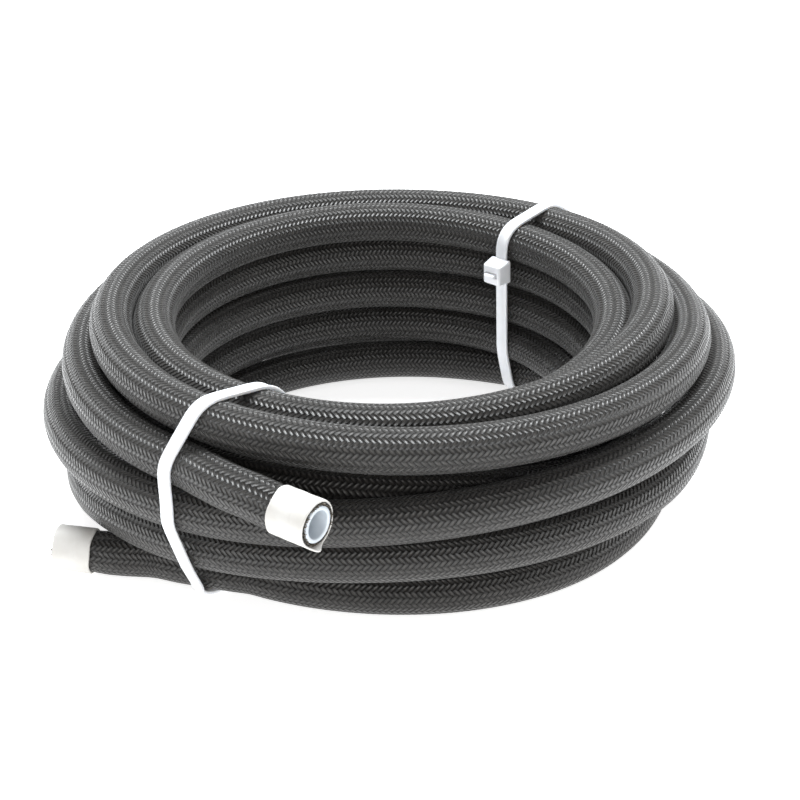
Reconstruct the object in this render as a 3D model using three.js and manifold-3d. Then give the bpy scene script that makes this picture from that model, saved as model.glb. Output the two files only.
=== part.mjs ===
// Coil of black braided hose with a white inner tube, held by two nylon ties.
// Millimetres, +Z up. The coil lies flat and its axis is upright.
import * as THREE from 'three';
import Module from 'manifold-3d';
import { mergeVertices } from 'three/addons/utils/BufferGeometryUtils.js';

const wasm = await Module();
wasm.setup();

// Hose section, from the bore outwards
const boreDiameter = 9.9;
const linerWall = 1.05;
const steelWall = 0.35;
const coverWall = 0.65;
const layerGap = 0.25;

const linerInner = boreDiameter / 2;
const linerOuter = linerInner + linerWall;
const steelInner = linerOuter + layerGap;
const steelOuter = steelInner + steelWall;
const coverInner = steelOuter + layerGap;
const hoseRadius = coverInner + coverWall;

// Clearance that neighbouring pieces keep
const fitGap = 0.3;

// Coil: radius of the innermost turns, and the spacing of turns that lie on each other
const eyeTurnRadius = 82.5;
const turnPitch = 2 * hoseRadius;
const footWidth = 4;
const footRise = Math.sqrt(hoseRadius ** 2 - (footWidth / 2) ** 2);
const coilSegments = 60;
const valleyShare = 0.5;
const crestStep = THREE.MathUtils.degToRad(38);

// Tape wrapped round each cut end
const upperTapeLength = 15;
const lowerTapeLength = 13;
const tapeThickness = 0.3;
const tapeGap = 0.2;
const tapeInner = hoseRadius + tapeGap;
const tapeOuter = tapeInner + tapeThickness;

// Nylon ties
const strapWidth = 4.8;
const strapThickness = 1.3;
const headWidth = 9;
const headHeight = 9.5;
const headDepth = 6.5;
const tailStub = 1.6;
const tailTrim = 0.3;

const tubeSides = 12;
const stepLength = 12;
const roundFlats = 1 / Math.cos(Math.PI / tubeSides);

const coverMaterial = new THREE.MeshStandardMaterial({ color: 0x2b2a29, roughness: 0.6, metalness: 0 });
const steelMaterial = new THREE.MeshStandardMaterial({ color: 0x8d857a, roughness: 0.4, metalness: 0.9 });
const linerMaterial = new THREE.MeshStandardMaterial({ color: 0xeef2f5, roughness: 0.35, metalness: 0 });
const tapeMaterial = new THREE.MeshStandardMaterial({ color: 0xf2f0ee, roughness: 0.45, metalness: 0 });
const tieMaterial = new THREE.MeshStandardMaterial({ color: 0xf4f6fa, roughness: 0.35, metalness: 0 });

const group = new THREE.Group();

function addMesh(name, geometry, material) {
  const mesh = new THREE.Mesh(geometry, material);
  mesh.name = name;
  group.add(mesh);
}

const polar = (radius, degrees, z) => new THREE.Vector3(
  radius * Math.cos(THREE.MathUtils.degToRad(degrees)),
  radius * Math.sin(THREE.MathUtils.degToRad(degrees)),
  z,
);

// Solids for cutting and joining
function toSolid(geometry) {
  const bare = geometry.clone();
  bare.deleteAttribute('normal');
  bare.deleteAttribute('uv');
  const merged = mergeVertices(bare, 1e-4);
  return new wasm.Manifold(new wasm.Mesh({
    numProp: 3,
    vertProperties: new Float32Array(merged.attributes.position.array),
    triVerts: new Uint32Array(merged.index.array),
  }));
}

function toGeometry(solid) {
  const mesh = solid.getMesh();
  const geometry = new THREE.BufferGeometry();
  geometry.setAttribute('position', new THREE.BufferAttribute(new Float32Array(mesh.vertProperties), 3));
  geometry.setIndex(new THREE.BufferAttribute(new Uint32Array(mesh.triVerts), 1));
  geometry.computeVertexNormals();
  return geometry;
}

const largestPiece = (solid) => solid.decompose().reduce((a, b) => (b.volume() > a.volume() ? b : a));

// Radius of a turn by its pitches out from the eye's turns, and height by its pitches up from the floor
const radiusOut = (pitches) => eyeTurnRadius + pitches * turnPitch;
const heightUp = (pitches) => footRise + pitches * turnPitch;
const turn = (pitchesOut, pitchesUp) => ({
  r: radiusOut(pitchesOut),
  z: heightUp(pitchesUp),
  onFloor: pitchesUp === 0,
});

// Turns that show on the bundle's outside, anticlockwise round its section from the foot of the eye
const outerTurns = [
  turn(0, 0),
  turn(1.05, 0),
  turn(1.8, 1.4),
  turn(1.95, 2.6),
  turn(1.7, 3.65),
  turn(0.9, 4.4),
  turn(0, 4),
  turn(0, 3),
  turn(0, 2),
  turn(0, 1),
];

// Closed outline of the section: a round crest for each turn, a shallow valley between two turns
function bundleOutline() {
  const count = outerTurns.length;
  const reach = Math.acos(valleyShare);
  const points = [];
  const addArc = (centre, start, end) => {
    const steps = Math.max(1, Math.round((end - start) / crestStep));
    for (let i = 0; i <= steps; i++) {
      const angle = start + ((end - start) * i) / steps;
      points.push(new THREE.Vector2(
        centre.r + hoseRadius * Math.cos(angle),
        centre.z + hoseRadius * Math.sin(angle),
      ));
    }
  };
  const outwardFrom = (i) => {
    const from = outerTurns[(i + count) % count];
    const to = outerTurns[(i + 1) % count];
    return Math.atan2(to.z - from.z, to.r - from.r) - Math.PI / 2;
  };
  const down = -Math.PI / 2;
  const halfFoot = Math.asin(footWidth / 2 / hoseRadius);
  outerTurns.forEach((centre, i) => {
    let before = outwardFrom(i - 1);
    const after = outwardFrom(i);
    while (before > after + Math.PI / 2) before -= 2 * Math.PI;
    while (before < after - (3 * Math.PI) / 2) before += 2 * Math.PI;
    if (centre.onFloor) {
      const lowest = down + 2 * Math.PI * Math.round((before + after - 2 * down) / (4 * Math.PI));
      addArc(centre, before - reach, lowest - halfFoot);
      addArc(centre, lowest + halfFoot, after + reach);
    } else {
      addArc(centre, before - reach, after + reach);
    }
  });
  return points;
}

// Round section of a tube, hollow when an inner radius is given
function tubeSection(outer, inner = 0) {
  const ring = (radius) => Array.from({ length: tubeSides }, (_, i) => {
    const angle = (2 * Math.PI * i) / tubeSides;
    return new THREE.Vector2(radius * Math.cos(angle), radius * Math.sin(angle));
  });
  const shape = new THREE.Shape(ring(outer));
  if (inner > 0) shape.holes.push(new THREE.Path(ring(inner)));
  return shape;
}

const sweep = (path, outer, inner) => new THREE.ExtrudeGeometry(tubeSection(outer, inner), {
  steps: Math.max(1, Math.round(path.getLength() / stepLength)),
  bevelEnabled: false,
  extrudePath: path,
});

// One end of the hose: curved where it leaves the coil, straight under its tape
class HoseEnd {
  constructor(place, tapeLength, points) {
    this.place = place;
    const [beforeTip, tip] = points.slice(-2);
    const heading = tip.clone().sub(beforeTip).normalize();
    const tapeStart = tip.clone().addScaledVector(heading, -tapeLength);
    this.points = [...points.slice(0, -1), tapeStart, tip];
    this.path = this.pathFrom(0);
    this.tapePath = new THREE.LineCurve3(tapeStart, tip);
  }

  // The hose's centre line, started a little further back in the coil
  pathFrom(backStep) {
    const [first, second] = this.points;
    const start = first.clone().addScaledVector(first.clone().sub(second).normalize(), backStep);
    return new THREE.CatmullRomCurve3([start, ...this.points.slice(1)], false, 'centripetal');
  }

  build() {
    addMesh(`hose_end_${this.place}`, sweep(this.path, hoseRadius, coverInner), coverMaterial);
    addMesh(`steel_braid_${this.place}`, sweep(this.path, steelOuter, steelInner), steelMaterial);
    addMesh(`liner_${this.place}`, sweep(this.path, linerOuter, linerInner), linerMaterial);
    addMesh(`end_tape_${this.place}`, sweep(this.tapePath, tapeOuter, tapeInner), tapeMaterial);
  }

  // Room that the end takes up in the coil, its flats a clearance away from the hose and the tape
  room() {
    const cover = toSolid(sweep(this.pathFrom(fitGap), (hoseRadius + fitGap) * roundFlats));
    return cover.add(toSolid(sweep(this.tapePath, (tapeOuter + fitGap) * roundFlats)));
  }
}

// The upper end lies on the coil's shoulder, the lower one over the front tie and down to the floor
const shoulderHeight = heightUp(3.2);
const tipHeight = heightUp(3.27);
const overStrap = strapThickness + fitGap + hoseRadius;
const ends = [
  new HoseEnd('upper', upperTapeLength, [
    polar(radiusOut(1.6), -142, shoulderHeight),
    polar(radiusOut(1.76), -130, shoulderHeight),
    polar(radiusOut(2.09), -116.5, shoulderHeight),
    polar(radiusOut(2.79), -100.2, tipHeight),
  ]),
  new HoseEnd('lower', lowerTapeLength, [
    polar(radiusOut(0.4), -109.5, overStrap),
    polar(radiusOut(0.96), -128.7, overStrap),
    polar(radiusOut(1.5), -138.6, overStrap),
    polar(radiusOut(3.04), -151.1, tapeOuter),
  ]),
];
ends.forEach((end) => end.build());

function convexHull(points) {
  const sorted = [...points].sort((a, b) => a.x - b.x || a.y - b.y);
  const half = (list) => {
    const chain = [];
    for (const p of list) {
      while (chain.length > 1) {
        const [a, b] = chain.slice(-2);
        if ((b.x - a.x) * (p.y - a.y) - (b.y - a.y) * (p.x - a.x) > 1e-6) break;
        chain.pop();
      }
      chain.push(p);
    }
    return chain.slice(0, -1);
  };
  return [...half(sorted), ...half(sorted.reverse())];
}

// A tie lies flat on the bundle, and its loop crosses the bundle a little askew
class Tie {
  constructor(name, azimuth, skew) {
    this.name = name;
    this.heading = THREE.MathUtils.degToRad(azimuth - skew);
    this.offset = radiusOut(1) * Math.sin(THREE.MathUtils.degToRad(skew));
    this.out = new THREE.Vector2(Math.cos(this.heading), Math.sin(this.heading));
    this.side = new THREE.Vector2(-this.out.y, this.out.x);
    this.centres = [...outerTurns, ...this.endsInside()];
  }

  // Free ends that pass through the loop, at the radius and height where they do
  endsInside() {
    return ends.flatMap((end) => end.path.getSpacedPoints(60))
      .map((p) => ({ r: Math.hypot(p.x, p.y), z: p.z, at: new THREE.Vector2(p.x, p.y) }))
      .filter(({ at }) => at.dot(this.out) > 0 && Math.abs(at.dot(this.side) - this.offset) < strapWidth);
  }

  // Taut outline round the bundle in radius and height, no lower than the given height
  outline(distance, lowest) {
    const steps = 20;
    const points = this.centres.flatMap((centre) => Array.from({ length: steps }, (_, i) => {
      const angle = (2 * Math.PI * i) / steps;
      return new THREE.Vector2(
        centre.r + (hoseRadius + distance) * Math.cos(angle),
        Math.max(lowest, centre.z + (hoseRadius + distance) * Math.sin(angle)),
      );
    }));
    return convexHull(points);
  }

  // Point of the loop at a radius and height, moved along the bundle
  at(radius, z, along) {
    const azimuth = this.heading + Math.asin(this.offset / radius);
    return new THREE.Vector3(
      radius * Math.cos(azimuth) - along * Math.sin(azimuth),
      radius * Math.sin(azimuth) + along * Math.cos(azimuth),
      z,
    );
  }

  // Flat band round the bundle
  band(distance, lowest, width, thickness) {
    const inner = this.outline(distance, lowest);
    const count = inner.length;
    const outer = inner.map((p, i) => {
      const before = inner[(i + count - 1) % count];
      const after = inner[(i + 1) % count];
      const into = p.clone().sub(before).normalize();
      const out = after.clone().sub(p).normalize();
      const normal = new THREE.Vector2(into.y + out.y, -into.x - out.x).normalize();
      return p.clone().addScaledVector(normal, thickness / (normal.x * out.y - normal.y * out.x));
    });
    const rings = inner.map((p, i) => [
      [p, -width / 2], [outer[i], -width / 2], [outer[i], width / 2], [p, width / 2],
    ]);
    const positions = rings.flat().flatMap(([p, along]) => this.at(p.x, p.y, along).toArray());
    const corners = rings[0].length;
    const index = [];
    for (let i = 0; i < count; i++) {
      const next = (i + 1) % count;
      for (let j = 0; j < corners; j++) {
        const k = (j + 1) % corners;
        const [a, b, c, d] = [i * corners + j, i * corners + k, next * corners + k, next * corners + j];
        index.push(a, b, c, a, c, d);
      }
    }
    const geometry = new THREE.BufferGeometry();
    geometry.setAttribute('position', new THREE.Float32BufferAttribute(positions, 3));
    geometry.setIndex(index);
    return toSolid(geometry);
  }

  // Box on the loop's wall in the eye, between two radii
  eyeBox(innerRadius, outerRadius, z, width, height) {
    const azimuth = this.heading + Math.asin(this.offset / innerRadius);
    const box = new THREE.BoxGeometry(outerRadius - innerRadius, width, height);
    box.rotateZ(azimuth);
    const middle = this.at(innerRadius, z, 0);
    const step = (outerRadius - innerRadius) / 2;
    box.translate(middle.x + step * Math.cos(azimuth), middle.y + step * Math.sin(azimuth), z);
    return toSolid(box);
  }

  build() {
    const strap = this.band(fitGap, strapThickness, strapWidth, strapThickness);
    const strapFace = eyeTurnRadius - hoseRadius - fitGap - strapThickness;
    const headRise = heightUp(3.25);
    const head = this.eyeBox(
      strapFace - headDepth, strapFace + strapThickness / 2, headRise, headWidth, headHeight,
    );
    const tail = this.eyeBox(
      strapFace - headDepth - tailStub, strapFace - headDepth / 2, headRise,
      strapWidth - tailTrim, strapThickness,
    );
    addMesh(this.name, toGeometry(strap.add(head).add(tail)), tieMaterial);
  }

  // Room for the strap where it passes between the bundle and the floor
  room() {
    return this.band(fitGap, strapThickness + fitGap, strapWidth + 2 * fitGap, 2 * strapThickness);
  }
}

const ties = [
  new Tie('cable_tie_front', -121, 22),
  new Tie('cable_tie_rear', 47.2, 6.4),
];
ties.forEach((tie) => tie.build());

// The coil: one turned ring, with room for the ties beneath it and for both ends where they lie in it
const section = bundleOutline();
const turned = toSolid(new THREE.LatheGeometry([...section, section[0]], coilSegments).rotateX(Math.PI / 2));
const rooms = [...ends, ...ties].map((piece) => piece.room());
const coil = largestPiece(rooms.reduce((solid, room) => solid.subtract(room), turned));
addMesh('hose_coil', toGeometry(coil), coverMaterial);

// The origin is at the middle of the part's footprint
const bounds = new THREE.Box3().setFromObject(group);
const middle = bounds.getCenter(new THREE.Vector3());
group.position.set(-middle.x, -middle.y, -bounds.min.z);

export default group;
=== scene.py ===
"""Looks of a coil of black braided hose: two nylon ties round ten turns, and white tape on both cut ends."""

import math

import bmesh
import bpy
import numpy as np
from mathutils import Matrix, Vector


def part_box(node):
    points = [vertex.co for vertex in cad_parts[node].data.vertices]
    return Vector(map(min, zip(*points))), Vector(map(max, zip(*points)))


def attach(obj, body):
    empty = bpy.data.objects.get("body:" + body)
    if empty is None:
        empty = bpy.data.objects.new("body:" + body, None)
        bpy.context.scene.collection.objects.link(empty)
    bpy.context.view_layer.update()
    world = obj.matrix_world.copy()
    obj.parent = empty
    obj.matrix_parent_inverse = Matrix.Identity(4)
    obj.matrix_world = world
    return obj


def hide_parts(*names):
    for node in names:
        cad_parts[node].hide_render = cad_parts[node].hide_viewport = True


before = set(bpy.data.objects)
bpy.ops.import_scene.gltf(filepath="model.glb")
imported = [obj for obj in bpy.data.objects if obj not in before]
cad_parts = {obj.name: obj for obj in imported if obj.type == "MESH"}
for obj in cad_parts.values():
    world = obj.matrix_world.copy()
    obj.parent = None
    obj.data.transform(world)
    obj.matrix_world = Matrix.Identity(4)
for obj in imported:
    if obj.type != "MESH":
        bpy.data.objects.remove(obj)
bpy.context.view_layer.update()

MM = 0.001

# Hose, in metres
HOSE_DIAMETER = 15.0 * MM
HOSE_RADIUS = HOSE_DIAMETER / 2
COVER_WALL = 0.65 * MM
BRAID_OUTER = 6.6 * MM
BRAID_INNER = 6.2 * MM
LINER_OUTER = 6.0 * MM
LINER_INNER = 4.65 * MM
TICK = 1.9 * MM
CARRIERS = 24
HOSE_SIDES = 24
HOSE_RINGS = 3950
HOLLOW_DEPTH = 72 * MM

# Tape
TAPE_OUTER = 7.8 * MM
UPPER_TAPE_LENGTH = 15 * MM
LOWER_TAPE_LENGTH = 13 * MM

# Ties
STRAP_WIDTH = 4.8 * MM
STRAP_THICKNESS = 1.3 * MM
FIT_GAP = 0.15 * MM
HEAD_WIDTH = 9 * MM
HEAD_HEIGHT = 9.5 * MM
HEAD_DEPTH = 6.5 * MM
HEAD_RISE = 59.3 * MM
TAIL_STUB = 1.6 * MM

# The turns' common axis lies a little in front of the turned ring's axis in the frame
AXIS_FORWARD = 3 * MM
ring_low, ring_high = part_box("hose_coil")
AXIS = np.array([(ring_low.x + ring_high.x) / 2, (ring_low.y + ring_high.y) / 2 - AXIS_FORWARD, 0.0])


def make_camera():
    """A long lens from the front, a little above: the photograph's view of the coil."""
    distance = 0.6938
    elevation = math.radians(28.256)
    lens_pixels = 1903
    target_pixel = (386.5, 381.4)
    frame_pixels = 800
    half_height = 0.04
    target = Vector(AXIS) + Vector((0, 0, half_height))
    forward = Vector((0, math.cos(elevation), -math.sin(elevation)))
    right = Vector((1, 0, 0))
    up = right.cross(forward)
    data = bpy.data.cameras.new("camera")
    camera = bpy.data.objects.new("camera", data)
    bpy.context.scene.collection.objects.link(camera)
    data.sensor_width = 36
    data.lens = data.sensor_width * lens_pixels / frame_pixels
    data.clip_start = 0.01
    camera.location = target - forward * distance
    aim = (
        forward
        + right * ((frame_pixels / 2 - target_pixel[0]) / lens_pixels)
        - up * ((frame_pixels / 2 - target_pixel[1]) / lens_pixels)
    )
    camera.rotation_mode = "QUATERNION"
    camera.rotation_quaternion = aim.to_track_quat("-Z", "Y")
    bpy.context.scene.camera = camera


make_camera()


# Where the hose lies at places along its length: turns counted from the front and going left
# (.25 left, .5 back, .75 right), then the distance from the axis and the height, in hose diameters
UPPER_END = [
    (0.0265, 8.42, 3.85), (0.049, 7.93, 3.855), (0.0735, 7.66, 3.795), (0.1125, 7.31, 3.755),
]
LANES = [
    (0.25, 7.15, 3.86), (0.32, 7.02, 3.84), (0.42, 7.00, 3.80), (0.5, 7.10, 3.85),
    (0.6, 7.02, 3.86), (0.68, 7.02, 4.06), (0.75, 7.28, 4.42),
    (1.0, 6.95, 4.80), (1.25, 6.38, 4.72), (1.36, 6.32, 4.55), (1.5, 6.50, 4.38),
    (1.64, 6.18, 4.62), (1.75, 6.25, 5.02),
    (2.0, 5.97, 4.76), (2.25, 5.50, 4.53), (2.5, 5.45, 4.53), (2.75, 5.55, 4.53),
    (3.0, 5.20, 4.05), (3.25, 5.55, 3.55), (3.5, 5.65, 3.60), (3.75, 5.60, 3.55),
    (4.0, 5.35, 3.00), (4.25, 5.45, 2.55), (4.5, 5.50, 2.55), (4.75, 5.55, 2.55),
    (5.0, 5.30, 2.00), (5.25, 5.47, 1.48), (5.5, 5.62, 1.50), (5.75, 5.55, 1.50),
    (6.0, 4.74, 0.95), (6.25, 5.40, 0.50), (6.5, 5.16, 0.50), (6.75, 6.30, 1.50),
    (7.0, 6.30, 3.55), (7.25, 6.47, 3.20), (7.5, 6.60, 3.05), (7.70, 7.78, 3.74),
    (7.8, 7.86, 3.80), (8.0, 7.22, 3.38), (8.18, 7.80, 2.65), (8.25, 7.78, 2.49),
    (8.5, 7.5, 2.1), (8.75, 7.45, 2.08), (8.83, 6.85, 2.06), (8.9, 6.95, 2.08),
    (9.0, 7.00, 2.38), (9.18, 7.35, 1.15), (9.25, 7.35, 0.60), (9.5, 7.1, 0.5),
    (9.75, 6.46, 0.5), (9.875, 6.40, 0.5), (10.0, 5.66, 0.5),
]
LOWER_END = [
    (10.06, 5.80, 0.51), (10.1, 6.20, 0.51), (10.1327, 6.76, 0.51), (10.1467, 7.10, 0.51),
    (10.1632, 7.853, 0.525), (10.1718, 8.37, 0.533),
]


def between(x, known_x, known_y):
    """A curve through the known values that doesn't overshoot them."""
    step = np.diff(known_x)
    slope = np.diff(known_y) / step
    tangent = np.zeros_like(known_y)
    same_way = slope[:-1] * slope[1:] > 0
    left = np.where(same_way, slope[:-1], 1)
    right = np.where(same_way, slope[1:], 1)
    weight_left = 2 * step[1:] + step[:-1]
    weight_right = step[1:] + 2 * step[:-1]
    mean = (weight_left + weight_right) / (weight_left / left + weight_right / right)
    tangent[1:-1] = np.where(same_way, mean, 0)
    tangent[0], tangent[-1] = slope[0], slope[-1]
    i = np.clip(np.searchsorted(known_x, x) - 1, 0, len(step) - 1)
    t = (x - known_x[i]) / step[i]
    return (
        known_y[i] * (1 + 2 * t) * (1 - t) ** 2
        + step[i] * tangent[i] * t * (1 - t) ** 2
        + known_y[i + 1] * t * t * (3 - 2 * t)
        + step[i] * tangent[i + 1] * t * t * (t - 1)
    )


# The two ties: the azimuth where each crosses the turns, and how far it is askew, both in degrees
TIES = {"cable_tie_front": (-121, 22), "cable_tie_rear": (47.2, 6.4)}

# How far from the coil's axis the middle of the bundle lies where the ties cross it, in metres
TURN_RADIUS = 0.0975

# How far each strap drifts sideways from its plane at some heights, in metres; the rear one doesn't
DRIFT_HEIGHTS = np.array([-1, 0, 12, 27, 45, 62, 78, 100]) * MM
DRIFTS = {
    "cable_tie_front": np.array([-9.4, -9.4, -2.0, 3.5, 3.5, 0.3, 0.8, 0.8]) * MM,
    "cable_tie_rear": np.zeros(len(DRIFT_HEIGHTS)),
}


def wind():
    """The hose's middle line: every turn keeps to its lane, and turns that meet push each other apart."""
    # Places along the hose are counted in turns; heights, distances and pushes in hose diameters
    per_turn = 72
    end_gap = 0.5
    straight_upper, straight_lower = 0.1, 0.09
    pull, smoothing, last_smoothing = 0.03, 0.25, 0.08
    rounds, last_rounds = 300, 60
    push_share, longest_push = 0.4, 0.12
    nearest = 1e-6
    lanes = np.array(UPPER_END + LANES + LOWER_END)
    first = math.ceil(lanes[0, 0] * per_turn + end_gap)
    last = math.floor(lanes[-1, 0] * per_turn - end_gap)
    turn = np.arange(first, last + 1) / per_turn
    target = np.stack([between(turn, lanes[:, 0], lanes[:, k]) for k in (1, 2)], 1)
    place = target.copy()
    unsmoothed = (turn < straight_upper) | (turn > lanes[-1, 0] - straight_lower)
    azimuth = -90 - 360 * turn
    strap_lift = (STRAP_THICKNESS + 2 * FIT_GAP) / HOSE_DIAMETER
    spread = 24
    on_floor = 0.5
    lowest = np.full(len(turn), on_floor)
    for tie_azimuth, _ in TIES.values():
        away = (azimuth - tie_azimuth + 180) % 360 - 180
        lowest += strap_lift * np.exp(-((away / spread) ** 2))

    def push_apart():
        move = np.zeros_like(place)
        for turns_on in range(1, len(place) // per_turn + 2):
            a = np.arange(0, max(len(place) - turns_on * per_turn, 0))
            b = a + turns_on * per_turn
            gap = place[b] - place[a]
            distance = np.maximum(np.hypot(gap[:, 0], gap[:, 1]), nearest)
            overlap = np.maximum(1 - distance, 0)
            push = gap / distance[:, None] * overlap[:, None] * push_share
            move[a] -= push
            move[b] += push
        place[:] += np.clip(move, -longest_push, longest_push)
        place[:, 1] = np.maximum(place[:, 1], lowest)

    def relax(share):
        bend = np.zeros_like(place)
        bend[1:-1] = place[:-2] - 2 * place[1:-1] + place[2:]
        place[:] += np.where(unsmoothed, 0.0, share)[:, None] * bend

    for _ in range(rounds):
        place += pull * (target - place)
        relax(smoothing)
        push_apart()
    for _ in range(last_rounds):
        push_apart()
        relax(last_smoothing)
    turn = np.concatenate([[lanes[0, 0]], turn, [lanes[-1, 0]]])
    start = lanes[0, 1:] + place[0] - target[0]
    finish = lanes[-1, 1:] + place[-1] - target[-1]
    place = np.concatenate([[start], place, [finish]])
    azimuth = np.radians(-90 - 360 * turn)
    radius = place[:, 0] * HOSE_DIAMETER
    points = np.stack(
        [radius * np.cos(azimuth), radius * np.sin(azimuth), place[:, 1] * HOSE_DIAMETER], 1
    )
    return points + AXIS


class Line:
    """A smooth curve through points, measured along its length."""

    def __init__(self, points, per_span=16):
        ends = [2 * points[0] - points[1], 2 * points[-1] - points[-2]]
        control = np.vstack([ends[0], points, ends[1]])
        t = np.linspace(0, 1, per_span, endpoint=False)[:, None]
        spans = []
        for a, b, c, d in zip(control[:-3], control[1:-2], control[2:-1], control[3:]):
            spans.append(
                b
                + 0.5 * t * (c - a)
                + t**2 * (a - 2.5 * b + 2 * c - 0.5 * d)
                + 0.5 * t**3 * (3 * b - a - 3 * c + d)
            )
        self.points = np.vstack([*spans, points[-1:]])
        steps = np.linalg.norm(np.diff(self.points, axis=0), axis=1)
        self.distance = np.concatenate([[0], np.cumsum(steps)])
        self.length = self.distance[-1]
        self.directions = np.gradient(self.points, axis=0)

    def at(self, distance):
        """Places along the line, with the directions ahead, sideways and up there."""
        place = [np.interp(distance, self.distance, self.points[:, k]) for k in range(3)]
        ahead = [np.interp(distance, self.distance, self.directions[:, k]) for k in range(3)]
        place, ahead = np.stack(place, -1), np.stack(ahead, -1)
        ahead /= np.linalg.norm(ahead, axis=-1, keepdims=True)
        side = np.cross(ahead, [0, 0, 1])
        side /= np.linalg.norm(side, axis=-1, keepdims=True)
        return place, ahead, side, np.cross(side, ahead)


route = Line(wind())


def make_piece(name, vertices, faces, material, uvs=None):
    """A smooth mesh piece on the part's root; uvs maps a UV layer's name to a (u, v) for each corner."""
    mesh = bpy.data.meshes.new(name)
    mesh.from_pydata(np.asarray(vertices).tolist(), [], faces)
    for layer_name, corners in (uvs or {}).items():
        layer = mesh.uv_layers.new(name=layer_name)
        layer.data.foreach_set("uv", np.asarray(corners, np.float32).ravel())
    mesh.validate()
    mesh.polygons.foreach_set("use_smooth", [True] * len(mesh.polygons))
    mesh.materials.append(material)
    piece = bpy.data.objects.new(name, mesh)
    bpy.context.scene.collection.objects.link(piece)
    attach(piece, "root")
    return piece


def closed_faces(count, sides):
    """Faces between rings of corners, each ring joined to the next and the last one to the first."""
    return [
        (k * sides + m, k * sides + n, j * sides + n, j * sides + m)
        for k in range(count)
        for j in [(k + 1) % count]
        for m in range(sides)
        for n in [(m + 1) % sides]
    ]


class Graph:
    """A material's node graph, with short calls for the nodes that it uses."""

    def __init__(self, name):
        self.material = bpy.data.materials.new(name)
        self.material.use_nodes = True
        self.tree = self.material.node_tree
        self.shader = self.tree.nodes["Principled BSDF"]

    def feed(self, socket, value):
        if isinstance(value, bpy.types.NodeSocket):
            self.tree.links.new(value, socket)
        else:
            socket.default_value = value

    def math(self, operation, *values):
        node = self.tree.nodes.new("ShaderNodeMath")
        node.operation = operation
        for socket, value in zip(node.inputs, values):
            self.feed(socket, value)
        return node.outputs[0]

    def node(self, kind, output=0, **inputs):
        node = self.tree.nodes.new(kind)
        for name, value in inputs.items():
            self.feed(node.inputs[name.replace("_", " ")], value)
        return node.outputs[output]

    def mix(self, share, low, high):
        node = self.tree.nodes.new("ShaderNodeMix")
        node.data_type = "RGBA"
        self.feed(node.inputs["Factor"], share)
        for name, value in (("A", low), ("B", high)):
            socket = [s for s in node.inputs if s.name == name and s.type == "RGBA"][0]
            self.feed(socket, value)
        return [s for s in node.outputs if s.type == "RGBA"][0]

    def between(self, value, low, high, to_low=0.0, to_high=1.0):
        node = self.tree.nodes.new("ShaderNodeMapRange")
        inputs = (value, low, high, to_low, to_high)
        for socket, given in zip(node.inputs, inputs):
            self.feed(socket, given)
        return node.outputs[0]

    def object_place(self):
        return self.tree.nodes.new("ShaderNodeTexCoord").outputs["Object"]

    def noise(self, scale, detail=2.0):
        return self.node(
            "ShaderNodeTexNoise", Vector=self.object_place(), Scale=scale, Detail=detail
        )

    def bump(self, height, distance, strength=1.0):
        return self.node("ShaderNodeBump", Height=height, Distance=distance, Strength=strength)

    def set(self, **sockets):
        for name, value in sockets.items():
            self.feed(self.shader.inputs[name.replace("_", " ")], value)
        return self.material


def colour(red, green, blue):
    return (red, green, blue, 1.0)


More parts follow.
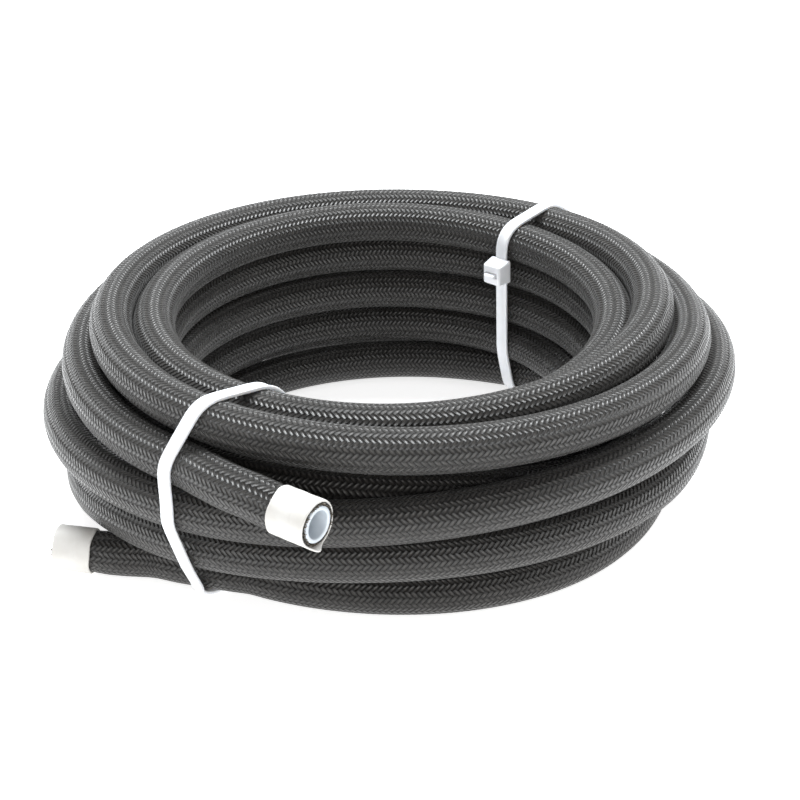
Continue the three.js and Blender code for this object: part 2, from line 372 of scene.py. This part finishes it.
def cover_material():
    """Black nylon yarn in a two-over-two braid: each yarn floats over two, then dives under two. Its colour
    is painted darker down into the valleys between yarns: painted shade.
    """
    wave_height, back_height, strand_height = 0.45, 0.5, 0.035
    strands = 3
    painted_light_from, painted_light_to, painted_light_power = 0.3, 0.95, 1.6
    # groove is painted shade: a near-black colour put in the valleys between yarns, where shade falls.
    groove, yarn_back = colour(0.0018, 0.0014, 0.001), colour(0.04, 0.037, 0.034)
    g = Graph("braided_nylon")
    uv = g.tree.nodes.new("ShaderNodeUVMap")
    uv.uv_map = "braid"
    split = g.tree.nodes.new("ShaderNodeSeparateXYZ")
    g.feed(split.inputs[0], uv.outputs[0])
    along, around = split.outputs[0], split.outputs[1]
    p = g.math("ADD", along, around)
    q = g.math("SUBTRACT", along, around)
    i, j = g.math("FLOOR", p), g.math("FLOOR", q)

    def yarn(phase, across):
        """Height of one family of yarns: a wave along it, and a round back across it."""
        wave = g.math("COSINE", g.math("MULTIPLY", phase, math.pi / 2))
        part = g.math("SUBTRACT", g.math("MULTIPLY", g.math("FRACT", across), 2), 1)
        back = g.math("SUBTRACT", 1, g.math("MULTIPLY", part, part))
        strand = g.math("COSINE", g.math("MULTIPLY", part, strands * math.pi))
        height = g.math(
            "ADD", g.math("MULTIPLY", wave, wave_height), g.math("MULTIPLY", back, back_height)
        )
        return g.math("ADD", height, g.math("MULTIPLY", strand, strand_height))

    right_hand = yarn(g.math("SUBTRACT", i, q), p)
    left_hand = yarn(g.math("ADD", g.math("SUBTRACT", p, j), 1), q)
    height = g.math("MAXIMUM", right_hand, left_hand)
    upper = g.math("GREATER_THAN", right_hand, left_hand)
    index = g.math(
        "ADD", g.math("MULTIPLY", upper, i), g.math("MULTIPLY", g.math("SUBTRACT", 1, upper), j)
    )
    yarn_noise = g.tree.nodes.new("ShaderNodeTexWhiteNoise")
    yarn_noise.noise_dimensions = "1D"
    g.feed(yarn_noise.inputs["W"], index)
    shade = yarn_noise.outputs["Value"]
    # Painted shade and light: the colour runs from the near-black groove in the valleys to the yarn's colour
    # on the crests. The per-yarn tint and the wear noise are the yarn's own tone.
    painted_light_on_crests = g.math("POWER", g.between(height, painted_light_from, painted_light_to), painted_light_power)
    tone = g.math("MULTIPLY", painted_light_on_crests, g.between(shade, 0, 1, 0.7, 1.25))
    wear = g.between(g.noise(30.0), 0.35, 0.75, 0.85, 1.2)
    tone = g.math("MULTIPLY", tone, wear)
    return g.set(
        Base_Color=g.mix(tone, groove, yarn_back),
        Roughness=g.between(height, 0.2, 0.9, 0.6, 0.3),
        Normal=g.bump(height, 0.8 * MM),
        Specular_IOR_Level=0.5,
        Sheen_Weight=0.12,
        Sheen_Roughness=0.4,
    )


def make_hose(material):
    """The cover: an outer skin the whole way, and a hollow at each end for the braid and the liner."""
    sides = HOSE_SIDES
    inside = HOSE_RADIUS - COVER_WALL
    squeeze = 0.3 * MM
    squeezed_within, round_beyond = 12 * MM, 19 * MM
    lip = 0.12 * MM
    hollow_rings = 24
    ragged_by = 0.5
    total = route.length

    def skin(distance):
        """Outer radius, a little less under the tape at each end."""
        from_end = np.minimum(distance, total - distance)
        beyond = (from_end - squeezed_within) / (round_beyond - squeezed_within)
        share = np.clip(1 - beyond, 0, 1)
        return HOSE_RADIUS - squeeze * share * share * (3 - 2 * share)

    hollow = np.linspace(HOLLOW_DEPTH, lip, hollow_rings)
    outer = np.linspace(lip, total - lip, HOSE_RINGS)
    where = np.concatenate([hollow, [0, 0], outer, [total, total], total - hollow[::-1]])
    radius = np.concatenate([
        np.full(len(hollow), inside - squeeze),
        [inside - squeeze + lip, HOSE_RADIUS - squeeze - lip],
        skin(outer),
        [HOSE_RADIUS - squeeze - lip, inside - squeeze + lip],
        np.full(len(hollow), inside - squeeze),
    ])
    place, ahead, side, up = route.at(where)
    turn = np.arange(sides) * 2 * np.pi / sides
    ring = (
        side[:, None] * np.cos(turn)[None, :, None] + up[:, None] * np.sin(turn)[None, :, None]
    )
    rng = np.random.default_rng(3)
    ragged = np.zeros((len(where), sides))
    for k in (hollow_rings, hollow_rings + 1):
        ragged[k] = rng.uniform(0.0, ragged_by, sides) * MM
        ragged[-1 - k] = -rng.uniform(0.0, ragged_by, sides) * MM
    vertices = place[:, None] + ring * radius[:, None, None] + ahead[:, None] * ragged[..., None]
    vertices = vertices.reshape(-1, 3)
    rings = len(where)
    faces, corners = [], []
    along = where / TICK
    around = np.arange(sides + 1) * CARRIERS / sides
    for k in range(rings - 1):
        for m in range(sides):
            n = (m + 1) % sides
            faces.append(
                (k * sides + m, k * sides + n, (k + 1) * sides + n, (k + 1) * sides + m)
            )
            corners += [
                (along[k], around[m]), (along[k], around[m + 1]),
                (along[k + 1], around[m + 1]), (along[k + 1], around[m]),
            ]
    centre_first, centre_last = len(vertices), len(vertices) + 1
    vertices = np.vstack([vertices, place[0], place[-1]])
    last = (rings - 1) * sides
    for m in range(sides):
        n = (m + 1) % sides
        faces.append((centre_first, n, m))
        faces.append((centre_last, last + m, last + n))
        corners += [(0, 0)] * 6
    return make_piece("hose", vertices, faces, material, {"braid": corners})


def sweep(line, stations, name, material):
    """A closed turned wall that follows a line: stations are (distance, radius), first joined to last."""
    sides = 48
    where = np.array([s[0] for s in stations])
    radius = np.array([s[1] for s in stations])
    place, ahead, side, up = line.at(np.maximum(where, 0))
    place = place + ahead * np.minimum(where, 0)[:, None]
    turn = np.arange(sides) * 2 * np.pi / sides
    ring = (
        side[:, None] * np.cos(turn)[None, :, None] + up[:, None] * np.sin(turn)[None, :, None]
    )
    vertices = (place[:, None] + ring * radius[:, None, None]).reshape(-1, 3)
    return make_piece(name, vertices, closed_faces(len(stations), sides), material)


def liner_material():
    g = Graph("fluoropolymer")
    tone = g.between(g.noise(180.0), 0.3, 0.7)
    return g.set(
        Base_Color=g.mix(tone, colour(0.55, 0.6, 0.65), colour(0.63, 0.68, 0.73)),
        Roughness=0.32,
        Subsurface_Weight=0.08,
        Subsurface_Radius=(1.0, 0.9, 0.8),
        Subsurface_Scale=1.5 * MM,
        Normal=g.bump(g.noise(900.0), 0.00005),
    )


def steel_material():
    g = Graph("steel_wire")
    tone = g.between(g.noise(1500.0), 0.3, 0.7)
    return g.set(
        Base_Color=g.mix(tone, colour(0.03, 0.024, 0.018), colour(0.22, 0.19, 0.15)),
        Metallic=0.6,
        Roughness=g.between(g.noise(2500.0), 0.3, 0.7, 0.35, 0.6),
    )


def tape_material():
    g = Graph("white_tape")
    tone = g.between(g.noise(120.0, 4.0), 0.3, 0.7)
    return g.set(
        Base_Color=g.mix(tone, colour(0.6, 0.585, 0.555), colour(0.68, 0.67, 0.65)),
        Roughness=0.5,
        Normal=g.bump(g.noise(600.0, 4.0), 0.0001, 0.6),
    )


def tie_material():
    g = Graph("natural_nylon")
    tone = g.between(g.noise(90.0), 0.3, 0.7)
    return g.set(
        Base_Color=g.mix(tone, colour(0.78, 0.8, 0.83), colour(0.86, 0.87, 0.9)),
        Roughness=0.34,
        Subsurface_Weight=0.15,
        Subsurface_Radius=(1.0, 0.9, 0.8),
        Subsurface_Scale=1.5 * MM,
        Normal=g.bump(g.noise(700.0), 0.00004),
    )


def make_tape(name, line, length, flap_at, material):
    """White tape wound round the cut: each wrap lies a step over the last, and one corner stands off."""
    sides, rows = 96, 56
    pitch, step = 8.5 * MM, 0.16 * MM
    ledge_rise, ledge_fall = 0.06, 0.55
    inside, thinnest = HOSE_RADIUS - 0.25 * MM, 0.3 * MM
    flap_spread, flap_reach = 0.3, 1.9 * MM
    flap_lift, flap_fade = 0.7 * MM, 5
    cut_waver, far_waver, far_ripple = 0.15 * MM, 0.35 * MM, 0.12 * MM
    crease_height, edge_drop, edge_rows = 0.05 * MM, 0.22 * MM, 2.0
    phi = np.arange(sides) * 2 * np.pi / sides
    share = np.linspace(0, 1, rows)
    near_flap = np.exp(-(((phi - flap_at + np.pi) % (2 * np.pi) - np.pi) / flap_spread) ** 2)
    cut = cut_waver * np.sin(2 * phi + 1) - flap_reach * near_flap
    far = length + far_waver * np.sin(phi + 0.6) + far_ripple * np.sin(5 * phi)
    along = cut[None] + (far - cut)[None] * share[:, None]
    wrap = (along / pitch + phi[None] / (2 * np.pi)) % 1.0
    ledge = np.clip(wrap / ledge_rise, 0, 1) * (1 - ledge_fall * wrap)
    crease = np.sin(3 * phi[None] + along / (1.7 * MM)) * np.sin(5 * phi[None] - along / (2.9 * MM))
    radius = TAPE_OUTER + step * ledge + crease_height * crease
    edge = np.minimum(share, 1 - share) * (rows - 1)
    radius -= edge_drop * np.clip(1 - edge / edge_rows, 0, 1)[:, None] ** 2
    lift = flap_lift * near_flap[None] * np.clip(1 - share * flap_fade, 0, 1)[:, None]
    radius += lift
    inner = np.minimum(radius - thinnest, inside) + lift
    stations = np.concatenate([along, along[::-1]])
    radii = np.concatenate([radius, inner[::-1]])
    place, _, side, up = line.at(np.maximum(stations, 0))
    ahead = line.at(np.array([0.0]))[1]
    place = place + ahead[0] * np.minimum(stations, 0)[..., None]
    ring = side * np.cos(phi)[None, :, None] + up * np.sin(phi)[None, :, None]
    vertices = (place + ring * radii[..., None]).reshape(-1, 3)
    return make_piece(name, vertices, closed_faces(len(stations), sides), material)


def add_frayed_wires(braid, line, seed):
    """Cut ends of the braid's wires, bent a little out of the cut."""
    rng = np.random.default_rng(seed)
    place, ahead, side, up = line.at(np.array([0.0]))
    wires, wire_radius, root = 110, 0.13 * MM, 1.2 * MM
    section = ((1, 0), (0.3, 0.95), (-0.8, 0.6), (-0.8, -0.6), (0.3, -0.95))
    bm = bmesh.new()
    bm.from_mesh(braid.data)
    for _ in range(wires):
        phi = rng.uniform(0, 2 * np.pi)
        radius = rng.uniform(LINER_OUTER + 0.05 * MM, BRAID_OUTER + 0.35 * MM)
        lean = rng.uniform(-0.5, 0.5, 2) * MM
        reach = rng.uniform(0.1, 0.75) * MM
        out = side[0] * math.cos(phi) + up[0] * math.sin(phi)
        sideways = up[0] * math.cos(phi) - side[0] * math.sin(phi)
        middle = place[0] + out * radius
        base = middle + ahead[0] * root
        tip = middle - ahead[0] * reach + sideways * lean[0] + out * lean[1] * 0.6
        rings = []
        for centre in (base, middle, tip):
            rings.append([
                bm.verts.new(Vector(centre + wire_radius * (out * a + sideways * b)))
                for a, b in section
            ])
        for low, high in zip(rings, rings[1:]):
            for m in range(len(section)):
                n = (m + 1) % len(section)
                bm.faces.new((low[m], low[n], high[n], high[m]))
        bm.faces.new(rings[0][::-1])
        bm.faces.new(rings[-1])
    bm.to_mesh(braid.data)
    bm.free()


def make_end(place, line, tape_length, flap_at, seed, materials):
    """Liner, steel braid and tape of one cut end; the line starts at the cut."""
    shallow, deep, rings = 0.3 * MM, HOLLOW_DEPTH - 2 * MM, 30
    proud, burr = 0.35 * MM, 0.2 * MM
    steps = np.linspace(shallow, deep, rings)
    wall = [(s, LINER_OUTER) for s in steps] + [(s, LINER_INNER) for s in steps[::-1]]
    wall += [(-proud + burr, LINER_INNER), (-proud, LINER_INNER + burr)]
    wall += [(-proud, LINER_OUTER - burr), (-proud + burr, LINER_OUTER)]
    liner = sweep(line, wall, f"liner_{place}_piece", materials["liner"])
    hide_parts(f"liner_{place}")
    wall = [(s, BRAID_OUTER) for s in steps] + [(s, BRAID_INNER) for s in steps[::-1]]
    braid = sweep(line, wall, f"steel_braid_{place}_piece", materials["steel"])
    add_frayed_wires(braid, line, seed)
    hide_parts(f"steel_braid_{place}")
    tape = make_tape(f"end_tape_{place}_piece", line, tape_length, flap_at, materials["tape"])
    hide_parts(f"end_tape_{place}")
    return [liner, braid, tape]


def convex_outline(points):
    """The corners of the convex outline of points in a plane, anticlockwise."""
    ordered = points[np.lexsort((points[:, 1], points[:, 0]))]

    def half(sequence):
        chain = []
        for p in sequence:
            while len(chain) > 1:
                a, b = chain[-2], chain[-1]
                if (b[0] - a[0]) * (p[1] - a[1]) - (b[1] - a[1]) * (p[0] - a[0]) > 1e-12:
                    break
                chain.pop()
            chain.append(p)
        return chain[:-1]

    return np.array(half(ordered) + half(ordered[::-1]))


def resample(loop, step):
    """A closed loop's points, evenly spaced."""
    closed = np.vstack([loop, loop[:1]])
    distance = np.concatenate([[0], np.cumsum(np.linalg.norm(np.diff(closed, axis=0), axis=1))])
    count = int(distance[-1] / step)
    at = np.linspace(0, distance[-1], count, endpoint=False)
    return np.stack([np.interp(at, distance, closed[:, k]) for k in (0, 1)], 1)


class Tie:
    """A nylon tie: its strap lies taut round the turns, near a plane that is a little askew to them."""

    def __init__(self, name, azimuth, skew):
        self.name = name
        heading = math.radians(azimuth - skew)
        self.out = np.array([math.cos(heading), math.sin(heading), 0])
        self.side = np.array([-math.sin(heading), math.cos(heading), 0])
        ring_axis = AXIS + np.array([0, AXIS_FORWARD, 0])
        offset = TURN_RADIUS * math.sin(math.radians(skew))
        self.origin = ring_axis + self.side * offset
        self.loop = self.taut_loop()

    def drift(self, height):
        """How far the strap lies from its plane at a height."""
        return between(height, DRIFT_HEIGHTS, DRIFTS[self.name])

    def taut_loop(self):
        """Middle line of the strap: distance out and height."""
        near_plane, sides = 30 * MM, 64
        loop_step, rounds = 0.6 * MM, 30
        near = np.abs((route.points - self.origin) @ self.side) < near_plane
        near &= (route.points - self.origin) @ self.out > 0
        distance = route.distance[near]
        place, _, side, up = route.at(distance)
        turn = np.arange(sides) * 2 * np.pi / sides
        ring = (
            side[:, None] * np.cos(turn)[None, :, None]
            + up[:, None] * np.sin(turn)[None, :, None]
        )
        skin = (place[:, None] + ring * HOSE_RADIUS).reshape(-1, 3) - self.origin
        under_strap = np.abs(skin @ self.side - self.drift(skin[:, 2])) < STRAP_WIDTH / 2
        flat = np.stack([skin[under_strap] @ self.out, skin[under_strap][:, 2]], 1)
        loop = resample(convex_outline(flat), loop_step)
        for _ in range(rounds):
            loop = 0.5 * loop + 0.25 * (np.roll(loop, 1, 0) + np.roll(loop, -1, 0))
        ahead = np.roll(loop, -1, 0) - np.roll(loop, 1, 0)
        ahead /= np.linalg.norm(ahead, axis=1, keepdims=True)
        outward = np.stack([ahead[:, 1], -ahead[:, 0]], 1)
        loop = loop + outward * (FIT_GAP + STRAP_THICKNESS / 2)
        loop[:, 1] = np.maximum(loop[:, 1], STRAP_THICKNESS / 2)
        return loop

    def frames(self):
        """Places on the strap's middle line, with the directions ahead, across it and outward."""
        place = self.origin + self.loop[:, :1] * self.out + self.loop[:, 1:] * [0, 0, 1]
        place += self.drift(self.loop[:, 1])[:, None] * self.side
        ahead = np.roll(place, -1, 0) - np.roll(place, 1, 0)
        ahead /= np.linalg.norm(ahead, axis=1, keepdims=True)
        radial = (place - AXIS) * [1, 1, 0]
        radial /= np.linalg.norm(radial, axis=1, keepdims=True)
        flat_ahead = np.stack([ahead @ self.out, ahead[:, 2]], 1)
        outward = flat_ahead[:, 1:] * radial - flat_ahead[:, :1] * [0, 0, 1]
        across = np.cross(outward, ahead)
        across /= np.linalg.norm(across, axis=1, keepdims=True)
        return place, ahead, across, np.cross(ahead, across)

    def head(self):
        """The head: a tapered, rounded box on the strap in the eye, with its slot and the cut tail."""
        place, ahead, across, outward = self.frames()
        inner_wall = self.loop[:, 0] < np.median(self.loop[:, 0])
        too_far = 9
        k = np.argmin(np.where(inner_wall, np.abs(self.loop[:, 1] - HEAD_RISE), too_far))
        half = STRAP_THICKNESS / 2
        outer_share, sunk = 0.84, half * 0.2
        rounding, rim, slot_depth = 1.1 * MM, 0.35 * MM, 1.8 * MM
        slot_x, slot_y = STRAP_WIDTH / 2 + 0.2 * MM, half + 0.5 * MM
        stub_trim, stub_rounding = 0.3 * MM, 0.2 * MM
        low, high = 2.5 * MM, HEAD_DEPTH + half + TAIL_STUB
        bm = bmesh.new()
        bmesh.ops.create_cube(bm, size=1)
        for v in bm.verts:
            taper = outer_share if v.co.z > 0 else 1.0
            v.co.x *= HEAD_WIDTH * taper
            v.co.y *= HEAD_HEIGHT * taper
            v.co.z = (v.co.z + 0.5) * (HEAD_DEPTH + half) - sunk
        bmesh.ops.bevel(
            bm, geom=bm.edges[:], offset=rounding, segments=4, profile=0.6, affect="EDGES"
        )
        bm.faces.ensure_lookup_table()
        top = max(bm.faces, key=lambda f: f.calc_center_median().z)
        bmesh.ops.inset_region(bm, faces=[top], thickness=rim)
        reach_x = max(abs(v.co.x) for v in top.verts)
        reach_y = max(abs(v.co.y) for v in top.verts)
        for v in top.verts:
            v.co.x *= slot_x / reach_x
            v.co.y *= slot_y / reach_y
        slot = bmesh.ops.extrude_discrete_faces(bm, faces=[top])["faces"]
        bmesh.ops.translate(bm, verts=slot[0].verts[:], vec=(0, 0, -slot_depth))
        stub = bmesh.ops.create_cube(bm, size=1)["verts"]
        for v in stub:
            v.co.x *= STRAP_WIDTH - stub_trim
            v.co.y *= STRAP_THICKNESS
            v.co.z = low + (v.co.z + 0.5) * (high - low)
        edges = {e for v in stub for e in v.link_edges}
        bmesh.ops.bevel(bm, geom=list(edges), offset=stub_rounding, segments=2, affect="EDGES")
        axes = Matrix((across[k], ahead[k], outward[k])).transposed().to_4x4()
        bm.transform(Matrix.Translation(place[k]) @ axes)
        return bm

    def build(self, material):
        """The strap with a shallow groove along its outer side, and the head."""
        place, _, across, outward = self.frames()
        sharp_angle = math.radians(50)
        w, t, r = STRAP_WIDTH / 2, STRAP_THICKNESS / 2, 0.35 * MM
        c = r * 0.3
        groove, slope, dip = 1.25 * MM, 0.3 * MM, 0.16 * MM
        section = [
            (-w + r, -t), (w - r, -t), (w - c, -t + c), (w, -t + r), (w, t - r),
            (w - c, t - c), (w - r, t), (groove + slope, t), (groove, t - dip),
            (-groove, t - dip), (-groove - slope, t), (-w + r, t), (-w + c, t - c),
            (-w, t - r), (-w, -t + r), (-w + c, -t + c),
        ]
        count = len(place)
        vertices = [
            place[k] + across[k] * a + outward[k] * b for k in range(count) for a, b in section
        ]
        faces = closed_faces(count, len(section))
        tie = make_piece(f"{self.name}_piece", vertices, faces, material)
        bm = self.head()
        bm.from_mesh(tie.data)
        bmesh.ops.recalc_face_normals(bm, faces=bm.faces[:])
        bm.to_mesh(tie.data)
        bm.free()
        tie.data.polygons.foreach_set("use_smooth", [True] * len(tie.data.polygons))
        tie.data.set_sharp_from_angle(angle=sharp_angle)
        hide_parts(self.name)


def line_from(start, towards):
    """The middle line of one end of the hose, from its cut."""
    reach, points, per_span = 0.1, 60, 4
    return Line(route.at(np.linspace(start, start + towards * reach, points))[0], per_span)


hose = make_hose(cover_material())
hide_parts("hose_coil", "hose_end_upper", "hose_end_lower")
surfaces = {"liner": liner_material(), "steel": steel_material(), "tape": tape_material()}
upper_line = line_from(0, 1)
lower_line = line_from(route.length, -1)
on_hose = make_end("upper", upper_line, UPPER_TAPE_LENGTH, math.radians(258), 5, surfaces)
on_hose += make_end("lower", lower_line, LOWER_TAPE_LENGTH, math.radians(200), 8, surfaces)
nylon = tie_material()
for name, (azimuth, skew) in TIES.items():
    Tie(name, azimuth, skew).build(nylon)


def add_light(name, size, power, tint, place, aim):
    """A rectangular lamp at a place, turned to what it lights."""
    data = bpy.data.lights.new(name, "AREA")
    data.shape = "RECTANGLE"
    data.size, data.size_y = size
    data.energy = power
    data.color = tint
    light = bpy.data.objects.new(name, data)
    bpy.context.scene.collection.objects.link(light)
    light.location = place
    direction = Vector(aim) - Vector(place)
    light.rotation_mode = "QUATERNION"
    light.rotation_quaternion = direction.to_track_quat("-Z", "Y")


def make_studio():
    """A pale floor that gives off a little light, a white room and large soft lamps."""
    mesh = bpy.data.meshes.new("floor")
    reach = 6.0
    mesh.from_pydata(
        [(-reach, -reach, 0), (reach, -reach, 0), (reach, reach, 0), (-reach, reach, 0)],
        [],
        [(0, 1, 2, 3)],
    )
    floor = bpy.data.objects.new("floor", mesh)
    bpy.context.scene.collection.objects.link(floor)
    g = Graph("studio_floor")
    tone = g.between(g.noise(3.0), 0.3, 0.7)
    mesh.materials.append(
        g.set(
            Base_Color=g.mix(tone, colour(0.96, 0.96, 0.96), colour(0.98, 0.98, 0.98)),
            Roughness=0.95,
            Emission_Color=colour(1, 1, 1),
            Emission_Strength=0.72,
        )
    )
    world = bpy.data.worlds.new("studio")
    bpy.context.scene.world = world
    world.use_nodes = True
    world.node_tree.nodes["Background"].inputs["Color"].default_value = colour(1, 1, 1)
    world.node_tree.nodes["Background"].inputs["Strength"].default_value = 0.5
    cool = (0.95, 0.98, 1.0)
    add_light("overhead", (1.0, 0.45), 30, cool, (0, 0.45, 0.95), (0, 0, 0))
    add_light("front", (0.9, 0.4), 5, (1, 0.98, 0.95), (0.1, -1.2, 0.55), (0, 0, 0.03))
    bpy.context.scene.view_settings.view_transform = "Standard"


make_studio()
